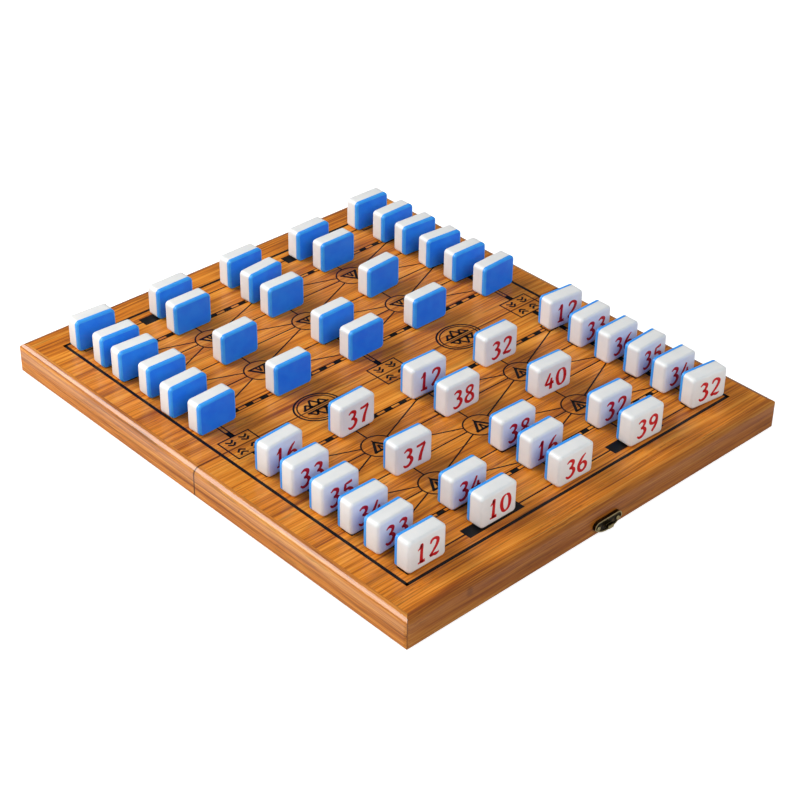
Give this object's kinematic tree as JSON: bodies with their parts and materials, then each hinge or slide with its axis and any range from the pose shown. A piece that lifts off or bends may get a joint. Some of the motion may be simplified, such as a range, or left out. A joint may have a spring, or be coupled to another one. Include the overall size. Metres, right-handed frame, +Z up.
{
  "type": "army chess set",
  "caption": "Folding bamboo board box opened flat, printed with an army chess grid, with two-layer standing tiles set out on their stations.",
  "frame": {"origin": "middle of the open board, on the plane of the tray rims that it stands on", "axes": "+X along the fold, to the right of the near player; +Y away from the near player, across the fold; +Z up, out of the playing surface"},
  "size_m": [0.33, 0.4055, 0.0462],
  "materials": {
    "bamboo_top": "satin varnish",
    "bamboo_rails": "satin varnish",
    "bronzed_metal": "antique bronze",
    "tile_plastic": "polished"
  },
  "bodies": {
    "front_half": {"front_panel": "bamboo_top", "front_rails": "bamboo_rails", "front_hinge_leaves": "bronzed_metal", "hinge_pins": "bronzed_metal", "latch_keeper": "bronzed_metal"},
    "back_half": {"back_panel": "bamboo_top", "back_rails": "bamboo_rails", "back_hinge_leaves": "bronzed_metal", "latch_plate": "bronzed_metal"},
    "hasp": {"latch_hasp": "bronzed_metal"},
    "front_tile_1_1": {"front_tile_1_1": "tile_plastic"},
    "front_tile_1_2": {"front_tile_1_2": "tile_plastic"},
    "front_tile_1_3": {"front_tile_1_3": "tile_plastic"},
    "front_tile_1_4": {"front_tile_1_4": "tile_plastic"},
    "front_tile_1_5": {"front_tile_1_5": "tile_plastic"},
    "front_tile_1_6": {"front_tile_1_6": "tile_plastic"},
    "front_tile_2_1": {"front_tile_2_1": "tile_plastic"},
    "front_tile_2_3": {"front_tile_2_3": "tile_plastic"},
    "front_tile_2_5": {"front_tile_2_5": "tile_plastic"},
    "front_tile_2_6": {"front_tile_2_6": "tile_plastic"},
    "front_tile_3_1": {"front_tile_3_1": "tile_plastic"},
    "front_tile_3_2": {"front_tile_3_2": "tile_plastic"},
    "front_tile_3_4": {"front_tile_3_4": "tile_plastic"},
    "front_tile_3_5": {"front_tile_3_5": "tile_plastic"},
    "front_tile_3_6": {"front_tile_3_6": "tile_plastic"},
    "front_tile_4_1": {"front_tile_4_1": "tile_plastic"},
    "front_tile_4_3": {"front_tile_4_3": "tile_plastic"},
    "front_tile_4_5": {"front_tile_4_5": "tile_plastic"},
    "front_tile_4_6": {"front_tile_4_6": "tile_plastic"},
    "front_tile_5_1": {"front_tile_5_1": "tile_plastic"},
    "front_tile_5_2": {"front_tile_5_2": "tile_plastic"},
    "front_tile_5_3": {"front_tile_5_3": "tile_plastic"},
    "front_tile_5_4": {"front_tile_5_4": "tile_plastic"},
    "front_tile_5_5": {"front_tile_5_5": "tile_plastic"},
    "front_tile_5_6": {"front_tile_5_6": "tile_plastic"},
    "back_tile_1_1": {"back_tile_1_1": "tile_plastic"},
    "back_tile_1_2": {"back_tile_1_2": "tile_plastic"},
    "back_tile_1_3": {"back_tile_1_3": "tile_plastic"},
    "back_tile_1_4": {"back_tile_1_4": "tile_plastic"},
    "back_tile_1_5": {"back_tile_1_5": "tile_plastic"},
    "back_tile_1_6": {"back_tile_1_6": "tile_plastic"},
    "back_tile_2_1": {"back_tile_2_1": "tile_plastic"},
    "back_tile_2_3": {"back_tile_2_3": "tile_plastic"},
    "back_tile_2_5": {"back_tile_2_5": "tile_plastic"},
    "back_tile_2_6": {"back_tile_2_6": "tile_plastic"},
    "back_tile_3_1": {"back_tile_3_1": "tile_plastic"},
    "back_tile_3_2": {"back_tile_3_2": "tile_plastic"},
    "back_tile_3_4": {"back_tile_3_4": "tile_plastic"},
    "back_tile_3_5": {"back_tile_3_5": "tile_plastic"},
    "back_tile_3_6": {"back_tile_3_6": "tile_plastic"},
    "back_tile_4_1": {"back_tile_4_1": "tile_plastic"},
    "back_tile_4_3": {"back_tile_4_3": "tile_plastic"},
    "back_tile_4_5": {"back_tile_4_5": "tile_plastic"},
    "back_tile_4_6": {"back_tile_4_6": "tile_plastic"},
    "back_tile_5_1": {"back_tile_5_1": "tile_plastic"},
    "back_tile_5_2": {"back_tile_5_2": "tile_plastic"},
    "back_tile_5_3": {"back_tile_5_3": "tile_plastic"},
    "back_tile_5_4": {"back_tile_5_4": "tile_plastic"},
    "back_tile_5_5": {"back_tile_5_5": "tile_plastic"},
    "back_tile_5_6": {"back_tile_5_6": "tile_plastic"}
  },
  "joints": [
    {"name": "board_fold", "type": "hinge", "parent": "front_half", "child": "back_half", "pos_m": [0, 0, -0.00015], "axis": [-1, 0, 0], "range_deg": [0, 180]},
    {"name": "hasp_swing", "type": "hinge", "parent": "back_half", "child": "hasp", "pos_m": [0, 0.1944, 0.0026], "axis": [1, 0, 0], "range_deg": [-74, 20]},
    {"name": "front_tile_1_1_lift", "type": "slide", "parent": "front_half", "child": "front_tile_1_1", "axis": [0, 0, 1], "range_m": [0, 0.06]},
    {"name": "front_tile_1_2_lift", "type": "slide", "parent": "front_half", "child": "front_tile_1_2", "axis": [0, 0, 1], "range_m": [0, 0.06]},
    {"name": "front_tile_1_3_lift", "type": "slide", "parent": "front_half", "child": "front_tile_1_3", "axis": [0, 0, 1], "range_m": [0, 0.06]},
    {"name": "front_tile_1_4_lift", "type": "slide", "parent": "front_half", "child": "front_tile_1_4", "axis": [0, 0, 1], "range_m": [0, 0.06]},
    {"name": "front_tile_1_5_lift", "type": "slide", "parent": "front_half", "child": "front_tile_1_5", "axis": [0, 0, 1], "range_m": [0, 0.06]},
    {"name": "front_tile_1_6_lift", "type": "slide", "parent": "front_half", "child": "front_tile_1_6", "axis": [0, 0, 1], "range_m": [0, 0.06]},
    {"name": "front_tile_2_1_lift", "type": "slide", "parent": "front_half", "child": "front_tile_2_1", "axis": [0, 0, 1], "range_m": [0, 0.06]},
    {"name": "front_tile_2_3_lift", "type": "slide", "parent": "front_half", "child": "front_tile_2_3", "axis": [0, 0, 1], "range_m": [0, 0.06]},
    {"name": "front_tile_2_5_lift", "type": "slide", "parent": "front_half", "child": "front_tile_2_5", "axis": [0, 0, 1], "range_m": [0, 0.06]},
    {"name": "front_tile_2_6_lift", "type": "slide", "parent": "front_half", "child": "front_tile_2_6", "axis": [0, 0, 1], "range_m": [0, 0.06]},
    {"name": "front_tile_3_1_lift", "type": "slide", "parent": "front_half", "child": "front_tile_3_1", "axis": [0, 0, 1], "range_m": [0, 0.06]},
    {"name": "front_tile_3_2_lift", "type": "slide", "parent": "front_half", "child": "front_tile_3_2", "axis": [0, 0, 1], "range_m": [0, 0.06]},
    {"name": "front_tile_3_4_lift", "type": "slide", "parent": "front_half", "child": "front_tile_3_4", "axis": [0, 0, 1], "range_m": [0, 0.06]},
    {"name": "front_tile_3_5_lift", "type": "slide", "parent": "front_half", "child": "front_tile_3_5", "axis": [0, 0, 1], "range_m": [0, 0.06]},
    {"name": "front_tile_3_6_lift", "type": "slide", "parent": "front_half", "child": "front_tile_3_6", "axis": [0, 0, 1], "range_m": [0, 0.06]},
    {"name": "front_tile_4_1_lift", "type": "slide", "parent": "front_half", "child": "front_tile_4_1", "axis": [0, 0, 1], "range_m": [0, 0.06]},
    {"name": "front_tile_4_3_lift", "type": "slide", "parent": "front_half", "child": "front_tile_4_3", "axis": [0, 0, 1], "range_m": [0, 0.06]},
    {"name": "front_tile_4_5_lift", "type": "slide", "parent": "front_half", "child": "front_tile_4_5", "axis": [0, 0, 1], "range_m": [0, 0.06]},
    {"name": "front_tile_4_6_lift", "type": "slide", "parent": "front_half", "child": "front_tile_4_6", "axis": [0, 0, 1], "range_m": [0, 0.06]},
    {"name": "front_tile_5_1_lift", "type": "slide", "parent": "front_half", "child": "front_tile_5_1", "axis": [0, 0, 1], "range_m": [0, 0.06]},
    {"name": "front_tile_5_2_lift", "type": "slide", "parent": "front_half", "child": "front_tile_5_2", "axis": [0, 0, 1], "range_m": [0, 0.06]},
    {"name": "front_tile_5_3_lift", "type": "slide", "parent": "front_half", "child": "front_tile_5_3", "axis": [0, 0, 1], "range_m": [0, 0.06]},
    {"name": "front_tile_5_4_lift", "type": "slide", "parent": "front_half", "child": "front_tile_5_4", "axis": [0, 0, 1], "range_m": [0, 0.06]},
    {"name": "front_tile_5_5_lift", "type": "slide", "parent": "front_half", "child": "front_tile_5_5", "axis": [0, 0, 1], "range_m": [0, 0.06]},
    {"name": "front_tile_5_6_lift", "type": "slide", "parent": "front_half", "child": "front_tile_5_6", "axis": [0, 0, 1], "range_m": [0, 0.06]},
    {"name": "back_tile_1_1_lift", "type": "slide", "parent": "back_half", "child": "back_tile_1_1", "axis": [0, 0, 1], "range_m": [0, 0.06]},
    {"name": "back_tile_1_2_lift", "type": "slide", "parent": "back_half", "child": "back_tile_1_2", "axis": [0, 0, 1], "range_m": [0, 0.06]},
    {"name": "back_tile_1_3_lift", "type": "slide", "parent": "back_half", "child": "back_tile_1_3", "axis": [0, 0, 1], "range_m": [0, 0.06]},
    {"name": "back_tile_1_4_lift", "type": "slide", "parent": "back_half", "child": "back_tile_1_4", "axis": [0, 0, 1], "range_m": [0, 0.06]},
    {"name": "back_tile_1_5_lift", "type": "slide", "parent": "back_half", "child": "back_tile_1_5", "axis": [0, 0, 1], "range_m": [0, 0.06]},
    {"name": "back_tile_1_6_lift", "type": "slide", "parent": "back_half", "child": "back_tile_1_6", "axis": [0, 0, 1], "range_m": [0, 0.06]},
    {"name": "back_tile_2_1_lift", "type": "slide", "parent": "back_half", "child": "back_tile_2_1", "axis": [0, 0, 1], "range_m": [0, 0.06]},
    {"name": "back_tile_2_3_lift", "type": "slide", "parent": "back_half", "child": "back_tile_2_3", "axis": [0, 0, 1], "range_m": [0, 0.06]},
    {"name": "back_tile_2_5_lift", "type": "slide", "parent": "back_half", "child": "back_tile_2_5", "axis": [0, 0, 1], "range_m": [0, 0.06]},
    {"name": "back_tile_2_6_lift", "type": "slide", "parent": "back_half", "child": "back_tile_2_6", "axis": [0, 0, 1], "range_m": [0, 0.06]},
    {"name": "back_tile_3_1_lift", "type": "slide", "parent": "back_half", "child": "back_tile_3_1", "axis": [0, 0, 1], "range_m": [0, 0.06]},
    {"name": "back_tile_3_2_lift", "type": "slide", "parent": "back_half", "child": "back_tile_3_2", "axis": [0, 0, 1], "range_m": [0, 0.06]},
    {"name": "back_tile_3_4_lift", "type": "slide", "parent": "back_half", "child": "back_tile_3_4", "axis": [0, 0, 1], "range_m": [0, 0.06]},
    {"name": "back_tile_3_5_lift", "type": "slide", "parent": "back_half", "child": "back_tile_3_5", "axis": [0, 0, 1], "range_m": [0, 0.06]},
    {"name": "back_tile_3_6_lift", "type": "slide", "parent": "back_half", "child": "back_tile_3_6", "axis": [0, 0, 1], "range_m": [0, 0.06]},
    {"name": "back_tile_4_1_lift", "type": "slide", "parent": "back_half", "child": "back_tile_4_1", "axis": [0, 0, 1], "range_m": [0, 0.06]},
    {"name": "back_tile_4_3_lift", "type": "slide", "parent": "back_half", "child": "back_tile_4_3", "axis": [0, 0, 1], "range_m": [0, 0.06]},
    {"name": "back_tile_4_5_lift", "type": "slide", "parent": "back_half", "child": "back_tile_4_5", "axis": [0, 0, 1], "range_m": [0, 0.06]},
    {"name": "back_tile_4_6_lift", "type": "slide", "parent": "back_half", "child": "back_tile_4_6", "axis": [0, 0, 1], "range_m": [0, 0.06]},
    {"name": "back_tile_5_1_lift", "type": "slide", "parent": "back_half", "child": "back_tile_5_1", "axis": [0, 0, 1], "range_m": [0, 0.06]},
    {"name": "back_tile_5_2_lift", "type": "slide", "parent": "back_half", "child": "back_tile_5_2", "axis": [0, 0, 1], "range_m": [0, 0.06]},
    {"name": "back_tile_5_3_lift", "type": "slide", "parent": "back_half", "child": "back_tile_5_3", "axis": [0, 0, 1], "range_m": [0, 0.06]},
    {"name": "back_tile_5_4_lift", "type": "slide", "parent": "back_half", "child": "back_tile_5_4", "axis": [0, 0, 1], "range_m": [0, 0.06]},
    {"name": "back_tile_5_5_lift", "type": "slide", "parent": "back_half", "child": "back_tile_5_5", "axis": [0, 0, 1], "range_m": [0, 0.06]},
    {"name": "back_tile_5_6_lift", "type": "slide", "parent": "back_half", "child": "back_tile_5_6", "axis": [0, 0, 1], "range_m": [0, 0.06]}
  ]
}
